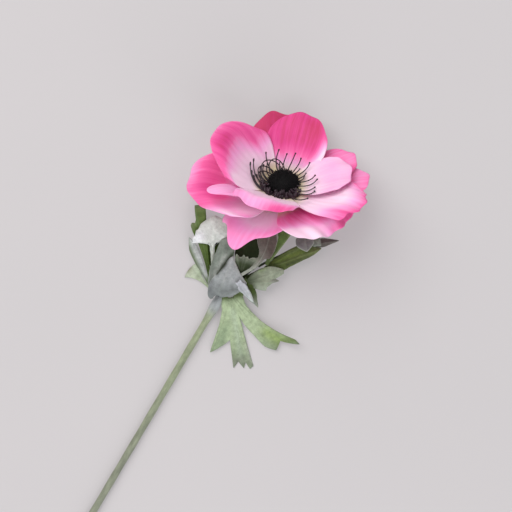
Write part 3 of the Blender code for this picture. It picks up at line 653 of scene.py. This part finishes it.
# %% The tube maker
def tubes(paths, radii, sides):
    """Rings round paths[copy, step, xyz] with radii[copy, step], and one more at each end shrunk to a point.
    At each step two directions square to the path come from cross products with a fixed leaning one."""
    ahead = np.gradient(paths, axis=1)
    ahead = ahead / np.linalg.norm(ahead, axis=-1, keepdims=True)
    lean = np.array([0.31, 0.17, 0.93])
    first = np.cross(ahead, lean)
    first = first / np.linalg.norm(first, axis=-1, keepdims=True)
    second = np.cross(ahead, first)
    turn = np.linspace(0.0, 2.0 * np.pi, sides, endpoint=False)
    ring = first[:, :, None] * np.cos(turn)[:, None] + second[:, :, None] * np.sin(turn)[:, None]
    body = paths[:, :, None] + ring * radii[:, :, None, None]
    first_end = np.repeat(paths[:, :1, None], sides, axis=2)
    last_end = np.repeat(paths[:, -1:, None], sides, axis=2)
    return np.concatenate([first_end, body, last_end], axis=1)


# %% [markdown]
# ## Stem
# The stem is a straight moulded rod, mottled green with a thin bloom of flock, duller towards its cut
# end, grey and thicker where the leaves leave it. It lies on the table and turns up under the bloom
# in one smooth bend. The slow change of colour is painted on the mesh, ring by ring.

# %% Stem finish
stem_flock = Finish("stem_flock", 0.85)
where = stem_flock.in_space()
mottle = stem_flock.noise(stem_flock.stretched(where, (1.0, 0.35, 1.0)), 420.0, 3.0, 0.6)
fuzz = stem_flock.noise(where, 2400.0, 2.0, 0.7)
green = stem_flock.scaled(stem_flock.painted(), 0.15 + mottle * 1.25 + fuzz * 0.45)
stem_flock.feed(stem_flock.shader.inputs["Base Color"], green)
stem_flock.relief(mottle * 0.6 + fuzz * 0.4, 0.6, 0.4)
stem_flock.shader.inputs["Sheen Weight"].default_value = 0.3

# %% Stem
STEM_SIDES = 28
LEAVES_LEAVE, RISE_STARTS = -61.0, -33.0
CUT_GREEN, UPPER_GREEN, SHEATH_GREY = np.array([(0.18, 0.195, 0.14), (0.225, 0.26, 0.16), (0.29, 0.31, 0.32)])
axis = in_bloom(np.array([0.0, 0.0, 1.0])) - in_bloom(np.zeros(3))
top = in_bloom(np.array([0.0, 0.0, -5.0]))
start = np.array([0.0, RISE_STARTS, STEM_RADIUS])
pull = 0.55 * np.linalg.norm(top - start)
hold, aim = start + np.array([0.0, pull, 0.0]), top - axis * pull
flat = np.linspace(-STEM_BACK, RISE_STARTS - 1.0, 90)
t = np.linspace(0.0, 1.0, 24)[:, None]
lying = np.stack([np.zeros_like(flat), flat, np.full_like(flat, STEM_RADIUS)], axis=-1)
rising = start * (1 - t) ** 3 + hold * 3 * t * (1 - t) ** 2 + aim * 3 * t * t * (1 - t) + top * t ** 3
path = np.concatenate([lying, rising])
step = np.arange(len(path))
girth = STEM_RADIUS - 0.05 + 0.05 * np.sin(step * 0.7) + 0.75 * hump(path[:, 1] - LEAVES_LEAVE, 5.0)
girth[0] *= 0.93
path[:, 2] = np.maximum(path[:, 2], girth)
rings = np.concatenate([[0], step, step[-1:]])
down = path[rings, 1][:, None]
tint = CUT_GREEN + (UPPER_GREEN - CUT_GREEN) * smooth((down + 150.0) / 70.0)
# the grey sheath comes in over 7 mm where the first leaf leaves and fades over 12 mm beyond the whorl
grey = smooth((down + 68.0) / 7.0) * (1.0 - smooth((down + 54.0) / 12.0))
tint = tint * (1 - grey) + SHEATH_GREY * grey
tint = np.repeat(np.concatenate([tint, np.ones_like(down)], axis=-1)[:, None], STEM_SIDES, axis=1)
stem = skin("stem_rod", tubes(path[None], girth[None], STEM_SIDES), closed=True, paint=tint)
settle(stem, stem_flock.material, ["stem"])
print("stem length in mm:", round(float(np.linalg.norm(np.diff(path, axis=0), axis=1).sum()), 1))

# %% [markdown]
# ## Receptacle
# Under the petals the stem widens into a small cone that every claw is glued to. It only shows from
# behind, so a turned profile is enough: radius against height, carried round the bloom's axis.

# %% Receptacle
def turned(profile, sides):
    """A profile of (radius, height) carried round the bloom's axis, as one closed grid in place."""
    profile = np.array(profile)
    turn = np.linspace(0.0, 2.0 * np.pi, sides, endpoint=False)
    return in_bloom(round_axis(profile[:, :1], turn, profile[:, 1:]))[None]


cone = turned([(0.0, -5.6), (1.8, -5.5), (2.0, -4.8), (2.9, -3.8), (3.4, -2.6), (3.5, 0.0), (3.5, 5.0),
               (0.0, 5.2)], 40)
green = np.broadcast_to([0.18, 0.22, 0.13, 1.0], cone.shape[:3] + (4,))
receptacle = skin("receptacle_cone", cone, closed=True, paint=green)
settle(receptacle, stem_flock.material, ["receptacle"])

# %% [markdown]
# ## Boss
# The heart of the flower is a dense black tuft. A dome alone would look like a bead, so a thousand or so
# short blunt fibres stand on it, spread evenly by the golden angle, each one leaning a little its own way.

# %% Boss finish
boss_fibre = Finish("boss_fibre", 0.7)
speck = boss_fibre.noise(boss_fibre.in_space(), 1500.0, 2.0, 0.6)
black = boss_fibre.blend(speck, (0.001, 0.001, 0.001, 1.0), (0.007, 0.006, 0.007, 1.0))
boss_fibre.feed(boss_fibre.shader.inputs["Base Color"], black)
boss_fibre.feed(boss_fibre.shader.inputs["Roughness"], 0.55 + speck * 0.35)
boss_fibre.relief(speck, 0.8, 0.3)
boss_fibre.shader.inputs["Specular IOR Level"].default_value = 0.2

# %% Boss
chance = np.random.default_rng(11)
BOSS_RADIUS, BOSS_CENTRE = 7.2, 2.4
swing = np.linspace(-0.35 * np.pi, np.pi / 2.0, 22)
profile = np.stack([BOSS_RADIUS * np.cos(swing), BOSS_CENTRE + BOSS_RADIUS * np.sin(swing)], axis=-1)
profile = np.concatenate([[(0.0, profile[0, 1])], profile])
profile[-1, 0] = 0.0
boss = skin("boss_dome", turned(profile, 48), closed=True)
settle(boss, boss_fibre.material, ["centre_boss"])

count = 1100
k = np.arange(count)
level = 1.0 - 1.55 * (k + 0.5) / count
around = k * np.pi * (3.0 - np.sqrt(5.0))
flat = np.sqrt(1.0 - level ** 2)
out = np.stack([flat * np.cos(around), flat * np.sin(around), level], axis=-1)
root = out * BOSS_RADIUS + np.array([0.0, 0.0, BOSS_CENTRE])
out = out + chance.normal(0.0, 0.25, out.shape)
tall = chance.uniform(0.5, 1.4, count)
t = np.linspace(0.0, 1.0, 3)
paths = root[:, None] - 0.2 * out[:, None] + out[:, None] * (t[None, :, None] * tall[:, None, None])
fibres = skin("boss_fibres", in_bloom(tubes(paths, np.tile([0.2, 0.17, 0.11], (count, 1)), 5)), closed=True)
settle(fibres, boss_fibre.material)
print("boss fibres:", count)

# %% [markdown]
# ## Stamens
# Round the boss stand long thin filaments, dark purple brown. Each leaves the boss near its foot, runs
# outward, turns up, and ends in a small dark anther. On the left they are longer and lean the same way
# round. A few arch right over and come back to the boss, and a tuft of short, thick, glossy threads
# curls over the front. All are tubes; an anther is a place where the tube swells.

# %% Stamen finish
filament = Finish("filament_gloss", 0.4)
tone = filament.noise(filament.in_space(), 300.0, 2.0)
filament.feed(filament.shader.inputs["Base Color"],
              filament.blend(tone, (0.006, 0.003, 0.005, 1.0), (0.034, 0.010, 0.022, 1.0)))
filament.feed(filament.shader.inputs["Roughness"], 0.3 + tone * 0.25)

# %% Long filaments
# angle at the boss and at the anther, distance out at the boss and at the anther, then both heights
FILAMENTS = np.array([
    (132, 125, 8.0, 14.9, 5.0, 12.0), (116, 100, 8.0, 14.9, 6.5, 12.0), (96, 85, 8.0, 13.2, 6.0, 11.0),
    (76, 70, 7.6, 14.7, 6.0, 11.0), (56, 57, 7.8, 13.9, 5.5, 10.0), (33, 38, 8.4, 14.7, 5.5, 10.0),
    (45, 42, 7.5, 9.8, 6.0, 8.0), (16, 24, 7.5, 11.1, 5.5, 7.5), (5, 19, 8.0, 10.0, 5.0, 7.0),
    (-3, 5, 7.7, 14.3, 5.5, 9.5), (-26, -3, 8.3, 15.3, 6.0, 9.0), (-48, -21, 8.4, 15.4, 6.0, 8.4),
    (-56, -31, 8.8, 16.7, 5.6, 8.8), (-75, -49, 9.0, 17.3, 5.0, 8.2), (243, 164, 8.4, 15.9, 3.6, 12.4),
    (205, 156, 8.0, 15.2, 4.4, 13.0), (234, 176, 8.6, 14.6, 3.8, 10.6), (226, 184, 8.4, 13.6, 4.0, 9.4),
    (218, 178, 8.2, 12.2, 4.2, 8.8), (192, 152, 8.0, 12.0, 5.0, 9.4), (178, 144, 8.0, 11.4, 5.4, 9.4),
    (210, 168, 8.0, 11.6, 4.6, 8.6), (160, 132, 7.8, 11.2, 5.6, 8.8), (106, 100, 7.8, 11.0, 6.0, 8.4),
])
count = len(FILAMENTS)
leave, arrive, start, reach, foot, tall = FILAMENTS.T[:, :, None]
t = np.linspace(0.0, 1.0, 24)[None]
bow = 0.16 * np.sin(np.pi * t) + chance.normal(0.0, 0.012, (count, 1)) * np.sin(2.0 * np.pi * t)
radius = start - 2.0 + (reach - start + 2.0) * (t + bow)
rise = foot + (tall - foot) * (t - bow)
angle = np.radians(leave + (arrive - leave) * t)
paths = round_axis(radius, angle, rise)
girth = np.repeat(0.30 - 0.06 * t + 0.22 * hump(t - 0.965, 0.03), count, axis=0)
long_filaments = skin("stamen_filaments", in_bloom(tubes(paths, girth, 8)), closed=True)
settle(long_filaments, filament.material, ["stamens"])
print("filaments:", count)

# %% Arching filaments that come back to the boss
# angle out, angle back, reach, height
ARCHES = np.array([(184, 92, 12.0, 10.0), (196, 124, 12.2, 9.2), (146, 84, 11.6, 9.4), (206, 140, 11.4, 8.4)])
leave, arrive, reach, tall = ARCHES.T[:, :, None]
t = np.linspace(0.0, 1.0, 30)[None]
radius = 6.0 + (reach - 6.0) * np.sin(np.pi * t) ** 0.7
rise = 5.0 + (tall - 5.0) * np.sin(np.pi * t) ** 0.8
angle = np.radians(leave + (arrive - leave) * t)
paths = round_axis(radius, angle, rise)
arching = skin("stamen_arches", in_bloom(tubes(paths, np.full(paths.shape[:2], 0.26), 8)), closed=True)
settle(arching, filament.material)

# %% Short curled threads
count = 90
around = np.radians(chance.uniform(195.0, 312.0, count))[:, None]
t = np.linspace(0.0, 1.0, 14)[None]
size = chance.uniform(1.2, 2.2, (count, 1))
swing = np.pi * (-0.25 + 1.25 * t)
radius = chance.uniform(6.6, 9.4, (count, 1)) + size * (0.3 + 0.5 * np.sin(swing))
rise = chance.uniform(2.4, 4.6, (count, 1)) + size * (0.9 - np.cos(swing)) * 0.8
angle = around + chance.normal(0.0, 0.2, (count, 1)) * t
paths = round_axis(radius, angle, rise)
girth = np.repeat(0.50 - 0.12 * t, count, axis=0)
curls = skin("stamen_curls", in_bloom(tubes(paths, girth, 8)), closed=True)
settle(curls, filament.material)

# %% [markdown]
# ## Floor, light and camera
# The flower lies on a plain pale table, which gives off a little light of its own so that shadows stay
# faint. One large soft light comes from the upper left of the view and a weaker one fills from below it.
# The camera looks straight down from 70 cm with a long lens, turned so that the stem runs to the lower
# left.

# %% Floor
floor_mesh = bpy.data.meshes.new("floor")
floor_mesh.from_pydata([(-2, -2, 0), (2, -2, 0), (2, 2, 0), (-2, 2, 0)], [], [(0, 1, 2, 3)])
floor = bpy.data.objects.new("floor", floor_mesh)
bpy.context.scene.collection.objects.link(floor)
card = Finish("pale_card", 0.9)
mottling = card.noise(card.in_space(), 6.0, 2.0)
card.feed(card.shader.inputs["Base Color"],
          card.blend(mottling, (0.300, 0.287, 0.293, 1.0), (0.325, 0.306, 0.313, 1.0)))
card.shader.inputs["Emission Color"].default_value = (0.97, 0.94, 0.96, 1.0)
card.shader.inputs["Emission Strength"].default_value = 0.22
floor.data.materials.append(card.material)

# %% Lights
VIEW_TURN = 30.6
middle = UNDER_BLOOM + spin(VIEW_TURN) @ np.array([-12.15, -29.7, 25.0]) * MM


def stand(name, data, turn, place):
    """Object with the columns of turn as its axes, standing at a place in metres."""
    made = bpy.data.objects.new(name, data)
    bpy.context.scene.collection.objects.link(made)
    pose = np.eye(4)
    pose[:3, :3], pose[:3, 3] = turn, place
    made.matrix_world = pose.T.tolist()
    return made


def lamp(name, direction, distance, size, power, colour):
    """Square area light at a direction in the view's own frame, aimed at the view's middle."""
    toward = spin(VIEW_TURN) @ np.array(direction, float)
    toward = toward / np.linalg.norm(toward)
    side = np.cross([0.0, 1.0, 0.0], toward)
    side = side / np.linalg.norm(side)
    light = bpy.data.lights.new(name, "AREA")
    light.energy, light.size, light.color = power, size, colour
    turn = np.stack([side, np.cross(toward, side), toward], axis=-1)
    return stand(name, light, turn, middle + toward * distance)


lamp("window", (-0.6, 0.75, 1.2), 1.8, 1.6, 30.0, (1.0, 0.99, 0.97))
lamp("fill", (0.25, -1.0, 0.6), 1.6, 1.4, 17.0, (0.97, 0.98, 1.0))
world = bpy.data.worlds.new("studio")
world.use_nodes = True
world.node_tree.nodes["Background"].inputs["Color"].default_value = (1.0, 1.0, 1.0, 1.0)
world.node_tree.nodes["Background"].inputs["Strength"].default_value = 0.55
bpy.context.scene.world = world

# %% Camera
CAMERA_HEIGHT = 0.7
camera = bpy.data.cameras.new("camera")
camera.lens = 109.4
camera.sensor_width = 36.0
camera.clip_start = 0.01
above = middle + np.array([0.0, 0.0, CAMERA_HEIGHT])
bpy.context.scene.camera = stand("camera", camera, spin(VIEW_TURN), above)
bpy.context.scene.view_settings.view_transform = "Standard"
